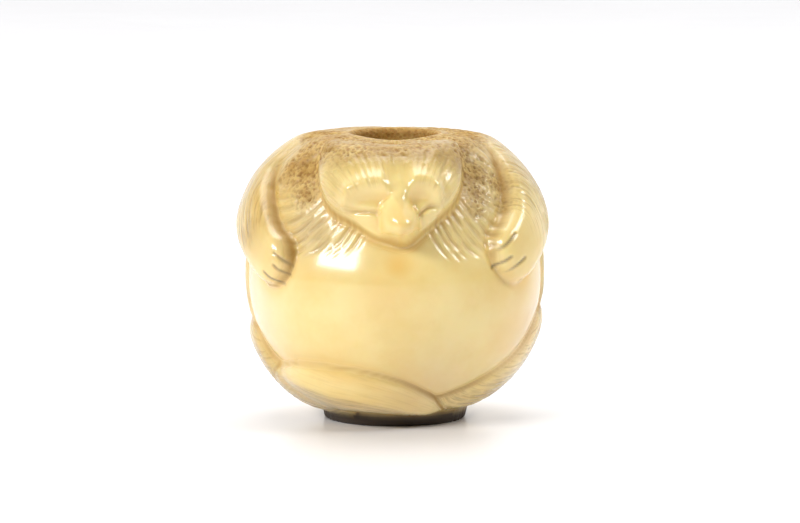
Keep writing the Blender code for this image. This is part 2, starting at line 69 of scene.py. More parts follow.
# The ball
# The blank is a ball of antler, squarer above its middle than below. The carving is a height over
# it for each direction from its centre: a longitude, from the front towards the viewer's right, and
# a latitude, in degrees. Heights and widths are in carving units, millimetres on an 18 mm bead.
BEAD_WIDTH = 18.0 * MM
BEAD_DEPTH = 17.0 * MM
BEAD_HEIGHT = 16.6 * MM
CORD_HOLE = 4.9 * MM
TOP_MOUTH = 0.30 * MM
FOOT_MOUTH = 0.30 * MM
FOOT_WIDTH = 8.2 * MM
FOOT_FLARE = 0.12
LAND_SOFTNESS = 0.50 * MM
FOOT_SOFTNESS = 0.25 * MM
UNIT = BEAD_WIDTH / 18.0
CENTRE_HEIGHT = 0.5 * BEAD_HEIGHT
BALL_HALF_WIDTH = 0.473 * BEAD_WIDTH
BALL_HALF_DEPTH = 0.495 * BEAD_DEPTH
BALL_TOP_REACH = 0.548 * BEAD_HEIGHT
BALL_FOOT_REACH = 0.507 * BEAD_HEIGHT
TOP_SQUARENESS = 2.3
FOOT_SQUARENESS = 2.0
BALL_RADIUS = 8.9
DEGREE = BALL_RADIUS * np.pi / 180.0  # length of one degree over the ball
COLUMNS = 440
ROWS = 204
COLUMN_STOPS = (-180, -112, -98, -46, 46, 98, 112, 180)  # longitudes, with the columns closest in front
COLUMN_CLOSENESS = (1, 1, 2.6, 3.6, 3.6, 2.6, 1, 1)
ROW_STOPS = (72, 6, 0, -36, -40, -62, -72)  # latitudes, with the rows closest over the face and arms
ROW_CLOSENESS = (2.1, 2.1, 0.9, 0.9, 1.5, 1.5, 1.0)


def spaced(start, end, count, stops, closeness):
    """Places from start to end whose closeness follows values given at the stops between."""
    fine = np.linspace(start, end, 4000)
    order = np.argsort(stops)
    weight = np.interp(fine, np.array(stops, float)[order], np.array(closeness, float)[order])
    share = np.concatenate([[0.0], np.cumsum(0.5 * (weight[1:] + weight[:-1]))])
    return np.interp(np.linspace(0.0, share[-1], count), share, fine)


def unit_directions(lon, lat):
    """The unit vector of a direction: -Y is the front, +X the viewer's right, +Z up."""
    lon, lat = np.radians(lon), np.radians(lat)
    return np.stack([np.sin(lon) * np.cos(lat), -np.cos(lon) * np.cos(lat), np.sin(lat)], axis=-1)


def smooth_max(a, b, blend):
    """The greater of two heights, with the corner between them rounded over a height of blend."""
    share = np.clip(0.5 + 0.5 * (a - b) / blend, 0.0, 1.0)
    return b + (a - b) * share + blend * share * (1.0 - share)


def smooth_min(a, b, blend):
    return -smooth_max(-a, -b, blend)


def ease(x):
    """A smooth step from 0 to 1."""
    x = np.clip(x, 0.0, 1.0)
    return x * x * (3.0 - 2.0 * x)


def mound(x):
    """A bell: 1 in the middle and near nothing at two half widths."""
    return np.exp(-np.square(x))


def ball_radius(lon, lat):
    """A super-ellipsoid: width and depth on an ellipse, and height by the squareness power."""
    lon, lat = np.radians(lon), np.radians(lat)
    half = 1.0 / np.hypot(np.sin(lon) / BALL_HALF_WIDTH, np.cos(lon) / BALL_HALF_DEPTH)
    power = np.where(lat > 0.0, TOP_SQUARENESS, FOOT_SQUARENESS)
    reach = np.where(lat > 0.0, BALL_TOP_REACH, BALL_FOOT_REACH)
    flat, tall = np.cos(lat) / half, np.abs(np.sin(lat)) / reach
    return (flat**power + tall**power) ** (-1.0 / power)


mouth = 0.5 * CORD_HOLE + TOP_MOUTH
top_latitude = np.degrees(np.arctan2(BEAD_HEIGHT - CENTRE_HEIGHT, mouth))
foot_latitude = -np.degrees(np.arctan2(CENTRE_HEIGHT, 0.5 * CORD_HOLE + FOOT_MOUTH))
column = spaced(-180.0, 180.0, COLUMNS + 1, COLUMN_STOPS, COLUMN_CLOSENESS)
row = spaced(top_latitude, foot_latitude, ROWS, ROW_STOPS, ROW_CLOSENESS)
longitude, latitude = np.meshgrid(column[:-1], row)
directions = unit_directions(longitude, latitude)
height = np.zeros_like(longitude)

# Fur
# Hair is engraved with a fine graver. Each stretch of fur has a coordinate along the hair and one
# across it, in carving units, and the strokes break off and taper along the lines between them.
STROKE_STRAY = 0.22  # how far a stroke strays from its line, as a share of the spacing
STROKE_HALF_WIDTH = 0.40  # a cut's half width, as a share of the spacing

fur = np.zeros_like(height)  # how much fur there is at a place
cut = np.zeros_like(height)  # depth of the strokes
ink = np.zeros_like(height)  # dark stain rubbed into the strokes
seam = np.zeros_like(height)  # old dirt along the line where one form meets the next
combed = np.zeros(height.shape + (3,))  # along, across, and the stretch's own number


def scatter(*numbers):
    """A value from 0 to 1 that looks random, always the same for the same numbers."""
    mixed = 0.0
    for number, weight in zip(numbers, (12.9898, 78.233, 37.719, 94.673)):
        mixed = mixed + number * weight
    return np.modf(np.abs(np.sin(mixed) * 43758.5453))[0]


def soft_noise(points, size, seed):
    """Random values at the corners of cubes of this size, eased between them, from -1 to 1."""
    cell = np.floor(points / size)
    t = ease(points / size - cell)
    total = 0.0
    for corner in np.ndindex(2, 2, 2):
        corner = np.array(corner)
        weight = np.prod(np.where(corner == 1, t, 1.0 - t), axis=-1)
        at = cell + corner
        total = total + weight * scatter(at[..., 0], at[..., 1], at[..., 2], seed)
    return 2.0 * total - 1.0


wander = soft_noise(directions * BALL_RADIUS, 1.6, 3)


def strokes(along, across, spacing, length, seed):
    """V-shaped cuts, one in each lane of the spacing, broken into tapered lengths of their own depth."""
    across = across + STROKE_STRAY * spacing * wander
    lane = np.floor(across / spacing)
    aside = across / spacing - lane - 0.5 - 0.3 * (scatter(lane, seed, 1.0) - 0.5)
    run = along / length * (0.75 + 0.5 * scatter(lane, seed, 2.0)) + 9.0 * scatter(lane, seed, 3.0)
    piece = np.floor(run)
    deep = 0.35 + 0.65 * scatter(lane, piece, seed)
    taper = np.sqrt(np.clip(np.sin(np.pi * (run - piece)), 0.0, 1.0))
    return deep * taper * np.clip(1.0 - np.abs(aside) / STROKE_HALF_WIDTH, 0.0, 1.0)


def comb(where, along, across, stretch):
    """Records how the hair lies over a stretch of fur, and how much fur there is."""
    here = where > 0.5 * fur
    for axis, values in enumerate((along, across, stretch + 0.0 * along)):
        combed[..., axis] = np.where(here, values, combed[..., axis])
    fur[...] = np.maximum(fur * (1.0 - where), where)


# Trunk
# The belly is left smooth and polished. The chest above it is cut back under the head, and the back,
# which takes in the haunches, stands a little proud of the belly behind a shallow groove.
BELLY_TOP = 2.0
CHEST_SPAN = 19.0
CHEST_DEPTH = 0.46
CHEST_SIDE = (40.0, 30.0)
CHEST_CROWN = (46.0, 18.0)
FLANK = 87.0
FLANK_BOW = 0.010
BACK_HEIGHT = 0.16
FLANK_GROOVE = 0.22
HAUNCH = (128, -34)
HAUNCH_RADIUS = 5.2
HAUNCH_HEIGHT = 0.42
CHEST_SLANTS = np.radians((46.0, 50.0))  # of the chest's hair, down from level, left and right
CHEST_STROKE = 0.50
CHEST_CUT = 0.11
BACK_STROKE = 0.85
BACK_CUT = 0.07
FORM_SQUARENESS = 2.6
WALL_STEEPNESS = 3.0


def rounded_form(distance, squareness=FORM_SQUARENESS):
    """Height of a rounded form over its edge: an arc inside distance 1, a steep wall outside."""
    inside = np.sqrt(np.clip(1.0 - np.abs(distance) ** squareness, 0.0, None))
    return np.where(distance < 1.0, inside, WALL_STEEPNESS * (1.0 - distance))


def angle_from(lon, lat):
    """The angle at the ball's centre from a direction to each place."""
    return np.arccos(np.clip(directions @ unit_directions(lon, lat), -1.0, 1.0))


side = np.abs(longitude)
past_flank = side - FLANK + FLANK_BOW * np.square(latitude + 4.0)
chest = ease((latitude - BELLY_TOP) / CHEST_SPAN) * (1.0 - ease((side - CHEST_SIDE[0]) / CHEST_SIDE[1]))
height -= CHEST_DEPTH * chest * (1.0 - ease((latitude - CHEST_CROWN[0]) / CHEST_CROWN[1]))
back = ease(past_flank / 3.0 + 0.5)
beside_limbs = ease((34.0 - np.abs(latitude)) / 12.0)
height += BACK_HEIGHT * back - FLANK_GROOVE * mound((past_flank + 1.5) / 1.6) * beside_limbs
for sign in (-1.0, 1.0):
    away = BALL_RADIUS * angle_from(sign * HAUNCH[0], HAUNCH[1]) / HAUNCH_RADIUS
    height = smooth_max(height, BACK_HEIGHT + HAUNCH_HEIGHT * (rounded_form(away) - 0.25), 0.5)

comb(back, -latitude * DEGREE, side * DEGREE * 0.8, 1.0)
cut += BACK_CUT * back * strokes(combed[..., 0], combed[..., 1], BACK_STROKE, 3.2, 11.0)
hem = 10.5 + 16.0 * mound((longitude - 2.0) / 15.0) + 3.0 * wander
chest_fur = ease((latitude - hem) / 5.0) * (1.0 - ease((side - 60.0) / 16.0)) * ease((60.0 - latitude) / 6.0)
slant = np.where(longitude < 0.0, *CHEST_SLANTS) + 0.010 * (30.0 - side)
outward, upward = side * DEGREE * np.cos(np.radians(latitude)), latitude * DEGREE
along = outward * np.cos(slant) - upward * np.sin(slant)
across = outward * np.sin(slant) + upward * np.cos(slant)
comb(0.5 * chest_fur, along, across, 2.0)
cut += CHEST_CUT * chest_fur * strokes(along, across, CHEST_STROKE, 2.6, 21.0)

# Hind legs
# Each thigh comes round the ball's foot as a long rounded ridge and ends under the tail. Its hair
# is cut slantwise across it.
LEFT_LEG = ((-96, -32), (-88, -40), (-75, -47), (-58, -53), (-40, -56))
RIGHT_LEG = ((94, -27), (86, -37), (72, -45), (54, -51), (36, -54), (24, -54))
LEFT_LEG_HALF_WIDTHS = (2.35, 2.25, 1.95, 1.55, 1.0)
RIGHT_LEG_HALF_WIDTHS = (2.35, 2.25, 1.95, 1.55, 1.0, 0.6)
LEFT_LEG_HEIGHTS = (0.78, 0.80, 0.78, 0.60, 0.40)
RIGHT_LEG_HEIGHTS = (0.60, 0.60, 0.54, 0.46, 0.38, 0.28)
LEG_GROOVE = 0.07
LEG_SLANT = (0.42, 0.90)
LEG_STROKE = 0.40
LEG_CUT = 0.07
CREASE = 0.10  # rounding where one form meets the next
GROOVE_PLACE = 1.06  # of the cut round a form, as a share of the form's half width
GROOVE_REACH = 0.16
SEAM_PLACE = 0.06  # of the dirt, outside a form's edge


def smooth_route(points, steps=160):
    """A Catmull-Rom curve through the points, sampled evenly between each two of them."""
    points = np.array(points, float)
    ends = np.vstack([2 * points[0] - points[1], points, 2 * points[-1] - points[-2]])
    at = np.linspace(0.0, len(points) - 1.0, steps)
    i = np.minimum(at.astype(int), len(points) - 2)
    t = (at - i)[:, None]
    a, b, c, d = ends[i], ends[i + 1], ends[i + 2], ends[i + 3]
    return 0.5 * (2 * b + (c - a) * t + (2 * a - 5 * b + 4 * c - d) * t**2 + (3 * b - 3 * c + d - a) * t**3)


def follow(points):
    """For a route: the share of the way along it, how far left of it and past its ends, and its length."""
    route = smooth_route(points)
    route = unit_directions(route[:, 0], route[:, 1])
    tangent = np.gradient(route, axis=0)
    step = np.linalg.norm(tangent, axis=1)
    tangent /= step[:, None]
    nearest = np.argmax(directions @ route.T, axis=-1)
    ahead = np.sum((directions - route[nearest]) * tangent[nearest], axis=-1)
    along = np.clip((nearest + ahead / step[nearest]) / (len(route) - 1), 0.0, 1.0)
    sideways = np.cross(route, tangent)[nearest]
    left = BALL_RADIUS * np.arcsin(np.clip(np.sum(directions * sideways, axis=-1), -1.0, 1.0))
    behind = np.sum(directions * route[nearest], axis=-1) < 0.0
    left = np.where(behind, 4.0 * BALL_RADIUS, left)
    past_end = np.where(nearest == 0, -ahead, np.where(nearest == len(route) - 1, ahead, 0.0))
    return along, left, BALL_RADIUS * np.clip(past_end, 0.0, None), BALL_RADIUS * step.sum()


def spread(values, along):
    """Values given at even steps along a route, read at each share of the way."""
    return np.interp(along, np.linspace(0.0, 1.0, len(values)), values)


def edge_groove(distance, depth):
    """The cut that a carver leaves round a form, just outside its edge."""
    return -depth * mound((distance - GROOVE_PLACE) / GROOVE_REACH)


def on_form(distance):
    """1 on a form and 0 off it, with a soft edge."""
    return ease((1.02 - distance) / 0.12)


def bury(covered):
    """A form laid over the rest covers the strokes that were there."""
    for carved in (cut, ink, fur, seam):
        carved *= 1.0 - covered


def draw_seam(outside, width, strength):
    """Dirt in a line just outside a form, where outside is the distance from the form's edge."""
    seam[...] = np.maximum(seam, strength * mound((outside - SEAM_PLACE) / width))


left_leg = (-1.0, LEFT_LEG, LEFT_LEG_HALF_WIDTHS, LEFT_LEG_HEIGHTS)
right_leg = (1.0, RIGHT_LEG, RIGHT_LEG_HALF_WIDTHS, RIGHT_LEG_HEIGHTS)
for sign, points, half_widths, heights in (left_leg, right_leg):
    along, left, past, length = follow(points)
    half_width = spread(half_widths, along)
    distance = np.hypot(left, past) / half_width
    leg = spread(heights, along) * rounded_form(distance)
    on_leg = on_form(distance)
    height = smooth_max(height + edge_groove(distance, LEG_GROOVE), leg, CREASE)
    bury(on_leg)
    draw_seam((distance - 1.0) * half_width, 0.12, 0.55 + 0.25 * wander)
    outward = -sign * left
    across = LEG_SLANT[0] * along * length - LEG_SLANT[1] * outward
    comb(on_leg, along * length, across, 3.0 + sign)
    leg_fur = on_leg * ease((0.92 - distance) / 0.3)
    lines = leg_fur * strokes(along * length, across, LEG_STROKE, 2.6, 31.0 + sign)
    cut += LEG_CUT * lines
    ink = np.maximum(ink, 0.5 * lines)

# Arms
# The arms come from the shoulders and lie on the belly with soft paws. Hair is engraved slantwise
# down each arm and stops short of the paw, where three dark cuts part the toes.
LEFT_ARM = ((-54.4, 10.8), (-65.3, 17.0), (-78.2, 24.5), (-91.5, 32), (-105, 40), (-119, 47), (-133, 53))
RIGHT_ARM = ((54.2, 13.1), (62.8, 19.0), (73.0, 27.3), (83, 35.2), (95, 42.5), (110, 49), (126, 55))
LEFT_ARM_HALF_WIDTHS = (1.64, 1.68, 1.92, 2.32, 2.72, 3.1, 3.3)
RIGHT_ARM_HALF_WIDTHS = (1.75, 1.86, 2.20, 2.56, 2.85, 3.1, 3.3)
LEFT_ARM_HEIGHTS = (0.95, 1.05, 1.12, 1.02, 0.80, 0.55, 0.35)
RIGHT_ARM_HEIGHTS = (0.95, 1.02, 1.00, 0.84, 0.62, 0.42, 0.30)
ARM_SQUARENESS = 3.4  # the arms' edges are crisper than the legs'
ARM_GROOVE = 0.08
LEFT_TOES = (  # each toe line's darkness and course
    (0.75, ((-53.5, 5.8), (-50.0, 2.8), (-46.2, 0.6))),
    (0.50, ((-48.9, 8.4), (-46.2, 5.8), (-43.6, 4.0))),
    (0.50, ((-48.9, 12.4), (-46.0, 10.3), (-43.4, 7.2))),
)
RIGHT_TOES = (
    (0.70, ((50.5, 19.2), (45.5, 15.8), (41.5, 13.2))),
    (0.70, ((47.0, 11.6), (43.0, 9.0), (40.5, 6.8))),
    (0.60, ((53.5, 10.7), (48.5, 7.8), (45.0, 5.3))),
)
TOE_DEPTH = 0.08
TOE_HALF_WIDTH = 0.07
LEFT_HAIR_SLANT = np.radians(26.0)  # the left arm's hair, off the arm's length
RIGHT_HAIR_BOW = 1.3  # how far the right arm's hair bows towards the paw
WRIST_PINCH = 0.22
ARM_STROKES = (0.34, 0.30)
ARM_CUTS = (0.04, 0.08)
BARE_PAWS = (0.9, 2.0)
SHOULDERS = (4.6, 5.4)  # how far up the arm its inner edge runs out

left_arm = (-1.0, LEFT_ARM, LEFT_ARM_HALF_WIDTHS, LEFT_ARM_HEIGHTS, LEFT_TOES)
right_arm = (1.0, RIGHT_ARM, RIGHT_ARM_HALF_WIDTHS, RIGHT_ARM_HEIGHTS, RIGHT_TOES)
for number, (sign, points, half_widths, heights, toes) in enumerate((left_arm, right_arm)):
    along, left, past, length = follow(points)
    from_paw = along * length
    half_width = spread(half_widths, along)
    outer = 0.5 - 0.5 * np.clip(sign * left / half_width, -1.0, 1.0)
    if sign < 0.0:
        half_width -= WRIST_PINCH * mound((from_paw - 0.6) / 1.3) * (1.0 - outer)
    distance = np.hypot(left, past) / half_width
    shoulder = ease((from_paw - SHOULDERS[number]) / 1.8)
    arm = spread(heights, along) * rounded_form(distance, ARM_SQUARENESS)
    groove = edge_groove(distance, ARM_GROOVE) * (1.0 - shoulder)
    height = smooth_max(height + groove, arm, CREASE + 0.7 * shoulder * (1.0 - outer))
    on_arm = on_form(distance)
    bury(on_arm)
    inner_edge = (1.0 - shoulder) * ease((0.6 - outer) / 0.4)
    outside = (distance - 1.0) * half_width
    if sign < 0.0:
        draw_seam(outside, 0.11, 0.9 * inner_edge + 0.7 * (1.0 - ease(from_paw / 0.8)) * (1.0 - inner_edge))
        along_hair = from_paw * np.cos(LEFT_HAIR_SLANT) - left * np.sin(LEFT_HAIR_SLANT)
        across_hair = left * np.cos(LEFT_HAIR_SLANT) + from_paw * np.sin(LEFT_HAIR_SLANT)
    else:
        rough_edge = inner_edge * ease((from_paw - 2.2) / 0.6)
        draw_seam(outside - 0.10, 0.20, rough_edge * (0.75 + 0.5 * wander))
        draw_seam(outside, 0.10, 0.45 * inner_edge)
        along_hair = 3.0 * outer - 0.8 * from_paw
        across_hair = from_paw + half_width * RIGHT_HAIR_BOW * np.square(outer)
    arm_fur = on_arm * ease((from_paw - BARE_PAWS[number]) / 1.2) * ease((1.0 - distance) / 0.2)
    comb(on_arm * ease((from_paw - 0.8) / 1.5), along_hair, across_hair, 6.0 + sign)
    lines = arm_fur * strokes(along_hair, across_hair, ARM_STROKES[number], 1.9, 41.0 + sign)
    cut += ARM_CUTS[number] * lines
    inked = 0.10 + 0.75 * mound((from_paw - 2.0) / 1.5) * mound((outer - 0.6) / 0.3) * (sign < 0.0)
    ink = np.maximum(ink, inked * lines)
    for strength, toe in toes:
        along, left, past, length = follow(toe)
        run_out = ease(along / 0.10) * ease((1.0 - along) / 0.45)
        line = run_out * mound(np.hypot(left + 0.05 * wander, past) / TOE_HALF_WIDTH)
        cut += TOE_DEPTH * line
        ink = np.maximum(ink, strength * line)

# Head
# The head lies back on the chest in a plane of its own, across and up from the plane's centre. Its
# outline is a squared-off skull joined to a cone that ends in the nose.
FACE_TILT = np.radians(35.0)
FACE_RADIUS = 9.1
SKULL_CENTRE = (-0.23, 2.30)
SKULL_HALF = (4.0, 3.70)
SKULL_SQUARENESS = 2.6
CHEEK_CENTRE = np.array((0.0, 0.22))
CHEEK_RADIUS = 2.58
NOSE_CENTRE = np.array((0.40, -1.46))
NOSE_RADIUS = 1.10
HEAD_HEIGHT = 0.95
JAW_HEIGHT = 0.36
EDGE_UP = (-2.6, 0.0, 1.2, 3.6)
HEAD_EDGE = (0.50, 1.25, 1.25, 2.20)  # how far the edge is rounded, at each place up the head
HEAD_GROOVE = 0.08
HEAD_GROOVE_WIDTH = 1.6
EAR = (3.05, 4.75)
EAR_RADIUS = 0.95
EAR_HEIGHT = 0.25


def head_outline(across, up):
    """Distance outside the head's outline, in the head's plane."""
    x = np.abs((across - SKULL_CENTRE[0]) / SKULL_HALF[0])
    y = np.abs((up - SKULL_CENTRE[1]) / SKULL_HALF[1])
    skull = ((x**SKULL_SQUARENESS + y**SKULL_SQUARENESS) ** (1.0 / SKULL_SQUARENESS) - 1.0) * SKULL_HALF[1]
    axis = NOSE_CENTRE - CHEEK_CENTRE
    length = np.hypot(*axis)
    axis = axis / length
    down = (across - CHEEK_CENTRE[0]) * axis[0] + (up - CHEEK_CENTRE[1]) * axis[1]
    aside = np.abs((across - CHEEK_CENTRE[0]) * axis[1] - (up - CHEEK_CENTRE[1]) * axis[0])
    narrowing = (CHEEK_RADIUS - NOSE_RADIUS) / length
    slant = np.sqrt(1.0 - narrowing**2)
    place = np.clip(down - aside * narrowing / slant, 0.0, length)
    cone = np.hypot(aside, down - place) - (CHEEK_RADIUS - narrowing * place)
    return smooth_min(skull, cone, 0.5)


across = FACE_RADIUS * directions[..., 0]
up = FACE_RADIUS * (directions[..., 1] * np.sin(FACE_TILT) + directions[..., 2] * np.cos(FACE_TILT))
facing = directions[..., 2] * np.sin(FACE_TILT) - directions[..., 1] * np.cos(FACE_TILT)
outside = np.where(facing > 0.1, head_outline(across, up), 3.0 * FACE_RADIUS)
rounding = rounded_form(1.0 + np.clip(outside / np.interp(up, EDGE_UP, HEAD_EDGE), -1.0, None))

# Face
# Brows overhang wide eye sockets, with a slit eye between swollen lids in each, and the muzzle
# stands out between them. Across and up are from the face's own middle, turned to the right.
FACE_MIDDLE = (0.38, -0.90)
FACE_ROLL = np.radians(3.0)
FACE_TURN = 0.20
ARCH = (
    (0.0, -0.45), (0.24, 0.05), (0.46, 0.58), (0.72, 0.90), (1.25, 1.02),
    (1.8, 0.92), (2.3, 0.66), (2.75, 0.26), (3.5, -0.7), (4.6, -2.2),
)
ARCH_STEP = 0.34
ARCH_SOFTNESS = 0.11
ARCH_END = (2.2, 0.8)
BROW_SWELL = 0.30
BROW_RISE = 0.34
SOCKET_DROP = 0.42  # how far below the arch the socket is deepest
SOCKET_DEPTH = 0.11
CHEEK_HOLLOW_DEPTH = 0.10
LEFT_LID = ((0.95, -0.10), (1.24, 0.03), (1.60, 0.12), (1.95, 0.21), (2.30, 0.32), (2.70, 0.50))
RIGHT_LID = ((0.95, -0.60), (1.13, -0.30), (1.47, -0.02), (1.88, 0.22), (2.35, 0.29), (2.88, 0.33))
LID_DEPTH = 0.26
LID_HALF_WIDTH = 0.09
UPPER_LID = (0.24, 0.18, 0.10)  # over the slit: how far up, half width and height of the lid's swelling
LOWER_LID = (-0.24, 0.18, 0.10)
LEFT_EYE = (1.75, 0.34, 0.04)
RIGHT_EYE = (1.95, -0.12, 0.15)
EYE_HALF = (0.52, 0.26)
LID_FOLD = ((1.15, -0.62), (1.47, -0.58), (2.02, -0.45), (2.56, -0.20))
LID_FOLD_DEPTH = 0.10
SNOUT_UP = (1.20, -2.0)
SNOUT_MIDDLES = (0.0, 0.0, -0.28, -0.25, -0.12, -0.10, -0.08, 0.0, 0.02)
SNOUT_HALF_WIDTHS = (0.26, 0.54, 0.88, 1.10, 1.14, 1.14, 1.12, 1.06, 0.98)
SNOUT_HEIGHTS = (1.02, 1.26, 1.42, 1.56, 1.74, 1.90, 1.98, 1.96, 1.84)
SNOUT_SQUARENESS = 2.1
NOSE_HOLLOW = (0.30, -0.48)
NOSE_HOLLOW_DEPTH = 0.13
FOREHEAD_FURROW = 0.14
NOTCH_DEPTH = 0.14
HAIR_ROOT = -3.5
BROW_STROKE = 0.27
BROW_CUT = 0.05


def path_mound(x, y, points, half_width):
    """A soft ridge along a curve in the face's plane, thinning towards the curve's ends."""
    route = smooth_route(points, 48)
    squared = np.square(x[..., None] - route[:, 0]) + np.square(y[..., None] - route[:, 1])
    nearest = np.argmin(squared, axis=-1)
    along = nearest / (len(route) - 1)
    return mound(np.sqrt(np.min(squared, axis=-1)) / half_width) * (0.3 + 0.7 * np.sin(np.pi * along))


near_face = outside < 1.0
x = across[near_face] - FACE_MIDDLE[0]
y = up[near_face] - FACE_MIDDLE[1]
x, y = x * np.cos(FACE_ROLL) + y * np.sin(FACE_ROLL), y * np.cos(FACE_ROLL) - x * np.sin(FACE_ROLL)
aside = np.abs(x) / (1.0 - FACE_TURN * np.sign(x))
arch = smooth_route(ARCH)
above = y - np.interp(aside, arch[:, 0], arch[:, 1])
beside_bridge = ease((aside - 0.35) / 0.5)
outer = ease((aside - ARCH_END[0]) / ARCH_END[1])
step = 0.5 + 0.5 * np.tanh(0.5 * above / ARCH_SOFTNESS)
relief = JAW_HEIGHT + (HEAD_HEIGHT - JAW_HEIGHT) * ease((y + 1.5) / 3.0)
relief += ARCH_STEP * (step + outer * (0.5 - step))
relief += BROW_SWELL * mound((above - BROW_RISE) / 0.52) * beside_bridge * (1.0 - outer)
relief -= FOREHEAD_FURROW * mound(x / 0.40) * ease((y - 1.2) / 0.8) * ease((4.2 - y) / 1.6)
in_socket = beside_bridge * (1.0 - ease((aside - 1.9) / 1.0))
relief -= SOCKET_DEPTH * mound((above + SOCKET_DROP) / 0.44) * in_socket
relief -= CHEEK_HOLLOW_DEPTH * mound(np.hypot((aside - 2.2) / 0.9, (y + 0.25) / 0.5))
left_side = x < 0.0
slit = np.zeros_like(relief)
for here, lid, eye in ((left_side, LEFT_LID, LEFT_EYE), (~left_side, RIGHT_LID, RIGHT_EYE)):
    route = smooth_route(lid)
    over = y - np.interp(aside, route[:, 0], route[:, 1])
    ends = ease((aside - 0.9) / 0.3) * (1.0 - ease((aside - 2.2) / 0.6))
    swellings = [rise * ends * mound((over - place) / width) for place, width, rise in (UPPER_LID, LOWER_LID)]
    lids = sum(swellings)
    level = y - eye[1] - 0.3 * (aside - eye[0])
    lids += eye[2] * mound(np.hypot((aside - eye[0]) / EYE_HALF[0], level / EYE_HALF[1]) ** 1.5)
    relief += np.where(here, lids, 0.0)
    slit = np.maximum(slit, here * path_mound(aside, y, lid, LID_HALF_WIDTH))
down = (SNOUT_UP[0] - y) / (SNOUT_UP[0] - SNOUT_UP[1])
share = np.abs(x - spread(SNOUT_MIDDLES, down)) / spread(SNOUT_HALF_WIDTHS, down)
bow = np.clip(1.0 - share**SNOUT_SQUARENESS, 0.0, None) ** (1.0 / SNOUT_SQUARENESS)
snout = spread(SNOUT_HEIGHTS, down) * bow
relief = smooth_max(relief - LID_DEPTH * slit, snout, 0.45)
relief -= NOSE_HOLLOW_DEPTH * mound(np.hypot((x - NOSE_HOLLOW[0]) / 0.26, (y - NOSE_HOLLOW[1]) / 0.36))
relief -= LID_FOLD_DEPTH * path_mound(aside, y, LID_FOLD, 0.08) * ~left_side
relief -= NOTCH_DEPTH * mound(x / 0.10) * ease((-1.40 - y) / 0.30)
face = np.full_like(height, JAW_HEIGHT)
face[near_face] = relief
above_arch = np.full_like(height, -5.0)
above_arch[near_face] = above
eye_line = np.zeros_like(height)
eye_line[near_face] = slit
ears = 0.0
for sign in (-1.0, 1.0):
    ears = ears + EAR_HEIGHT * mound(np.hypot(across - sign * EAR[0], up - EAR[1]) / EAR_RADIUS)
skull = np.where(outside < 0.0, (face + ears) * rounding, HEAD_HEIGHT * rounding)
into_rim = 1.0 - ease((up - 1.6) / 1.6)
groove = edge_groove(1.0 + outside / HEAD_GROOVE_WIDTH, HEAD_GROOVE) * into_rim
height = smooth_max(height + groove, skull, CREASE + 0.4 * (1.0 - into_rim))
on_head = ease((0.06 - outside) / 0.12)
bury(on_head)
draw_seam(outside, 0.12, 0.60 * into_rim)
draw_seam(outside - 0.15, 0.40, 0.22 * into_rim)
hair_x, hair_y = across - FACE_MIDDLE[0], up - FACE_MIDDLE[1] - HAIR_ROOT
hair_turn = np.arctan2(hair_x, hair_y)
hair_along = np.hypot(hair_x, hair_y)
head_fur = on_head * ease((above_arch + 0.02) / 0.25) * ease((-outside - 0.05) / 0.3)
head_fur *= np.maximum(ease((np.abs(hair_x) - 0.5) / 0.5), ease((up - 0.9) / 1.0))
comb(0.5 * head_fur, hair_along, hair_turn * 5.2, 9.0)
cut += BROW_CUT * head_fur * strokes(hair_along, hair_turn * 5.2, BROW_STROKE, 2.2, 51.0)
ink = np.maximum(ink, 0.10 * eye_line)
seam = np.maximum(seam, 0.50 * eye_line)

# Tail
# The tail is drawn up in front, under the belly: a leaf with a ridge that runs into its tip. Fine
# lines follow its length below the ridge, and the slope above the ridge is smoother.
TAIL = (
    (-66, -43.5), (-50, -44.5), (-34, -45.6), (-18, -46.5),
    (-4, -48.8), (9, -52.2), (21, -55.2), (32, -57.5),
)
TAIL_HALF_WIDTHS = (1.35, 1.90, 2.10, 2.00, 1.70, 1.28, 0.86, 0.25)
TAIL_HEIGHTS = (0.62, 0.80, 0.92, 0.95, 0.92, 0.84, 0.70, 0.42)
TAIL_RIDGE = (0.70, 0.42, 0.26, 0.16, 0.10, 0.05, 0.0, 0.0)
TAIL_FALL = 0.34
TAIL_GROOVE = 0.08
TAIL_STROKE = 0.28
TAIL_CUT = 0.035

along, left, past, length = follow(TAIL)
half_width = spread(TAIL_HALF_WIDTHS, along)
ridge = spread(TAIL_RIDGE, along)
offset = left / half_width - ridge
slope = np.clip(np.abs(offset) / np.where(offset > 0.0, 1.0 - ridge, 1.0 + ridge), 0.0, 1.0)
distance = np.hypot(left, past) / half_width
tail = spread(TAIL_HEIGHTS, along) * rounded_form(distance) * (1.0 - TAIL_FALL * slope)
height = smooth_max(height + edge_groove(distance, TAIL_GROOVE), tail, CREASE)
on_tail = on_form(distance)
bury(on_tail)
draw_seam((distance - 1.0) * half_width, 0.12, 0.50 + 0.35 * ease((along - 0.6) / 0.3))
below_ridge = on_tail * ease((0.10 - offset) / 0.25) * ease((1.0 - distance) / 0.15)
across = 2.2 * offset
comb(on_tail * (0.25 + 0.6 * below_ridge), along * length, across, 10.0)
lines = below_ridge * strokes(along * length, across, TAIL_STROKE, 9.0, 61.0)
cut += TAIL_CUT * lines
ink = np.maximum(ink, 0.25 * lines)

# Pores
# The middle of an antler is spongy. The cutting opened it round the cord hole, on the crown and in
# the two hollows beside the head, and dirt has browned the open pores.
SPONGE = (
    (-54, 47, 9), (-62, 55, 9), (-45, 58, 8), (-47, 37, 6), (-40, 46, 6), (-66, 44, 6),
    (47, 47, 8), (42, 39, 6), (44, 56, 8), (40, 32, 4), (58, 40, 5), (54, 32, 3),
)
PORE_DEPTH = 0.13


